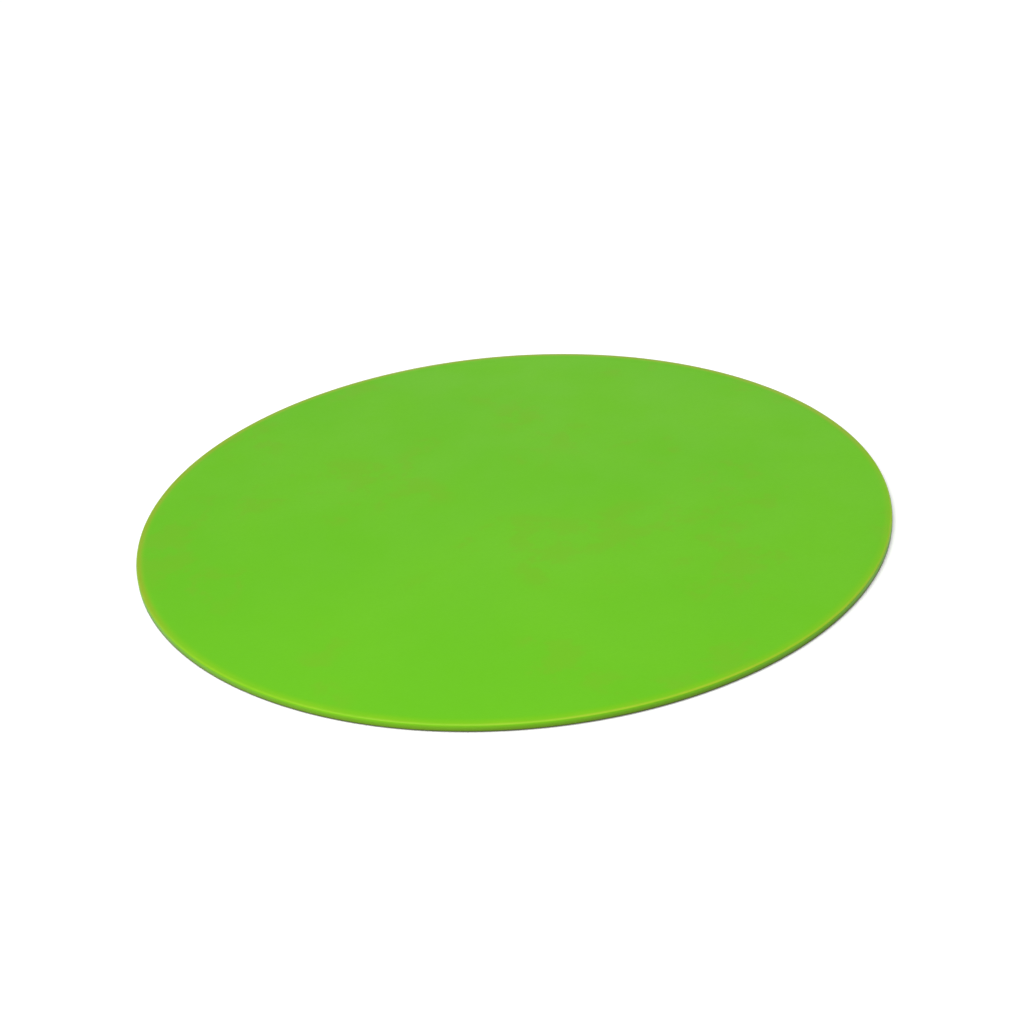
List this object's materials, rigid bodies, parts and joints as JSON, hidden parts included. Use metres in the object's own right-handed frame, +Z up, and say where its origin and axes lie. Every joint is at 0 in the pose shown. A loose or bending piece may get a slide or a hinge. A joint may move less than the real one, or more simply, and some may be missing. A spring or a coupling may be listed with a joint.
{
  "type": "balance pad",
  "caption": "Thin round balance pad: a moulded skin with an eased edge over laminated foam, on a rubber base with grip rings.",
  "frame": {"origin": "centre of the face that the pad rests on, which is the underside of the base's middle land", "axes": "+Z up through the middle of the pad, out of the standing face; X and Y in the plane of the pad, which is round, so neither is marked"},
  "size_m": [0.48, 0.48, 0.0055],
  "materials": {
    "green_skin": "satin moulded soft plastic, bright green",
    "soft_foam": "soft closed-cell foam, pale green",
    "woven_sheet": "open plain weave, undyed",
    "firm_foam": "firm closed-cell foam, charcoal",
    "grip_rubber": "matte moulded rubber, near black"
  },
  "bodies": {
    "root": {"cover_skin": "green_skin", "comfort_foam": "soft_foam", "scrim": "woven_sheet", "support_foam": "firm_foam", "base_skin": "grip_rubber"}
  },
  "joints": []
}
